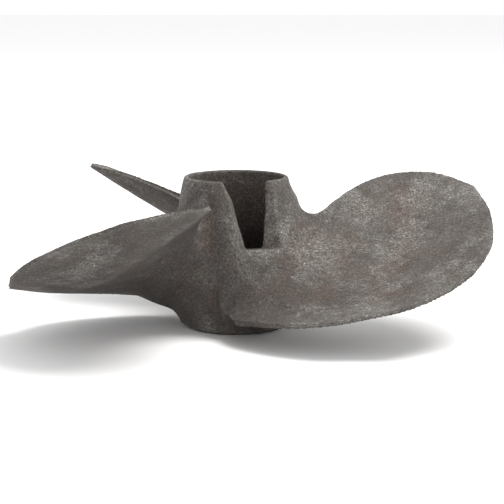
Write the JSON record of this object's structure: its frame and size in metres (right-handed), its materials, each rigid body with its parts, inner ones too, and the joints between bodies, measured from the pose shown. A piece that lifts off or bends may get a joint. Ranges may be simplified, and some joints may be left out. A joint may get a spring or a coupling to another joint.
{
  "type": "ship propeller",
  "caption": "Right-handed marine screw propeller in one casting, with broad rounded blades and a hollow hub collar notched at one side.",
  "frame": {"origin": "on the shaft's axis, at the height of the casting's centre of mass", "axes": "+Z along the shaft's axis from the ring that the hub stands on toward the notched collar, -Y toward the side that the notch faces, +X to the right of that"},
  "size_m": [0.3317, 0.3335, 0.1062],
  "materials": {
    "cast_iron": "dull, grainy as cast"
  },
  "bodies": {
    "root": {"propeller_casting": "cast_iron"}
  },
  "joints": []
}
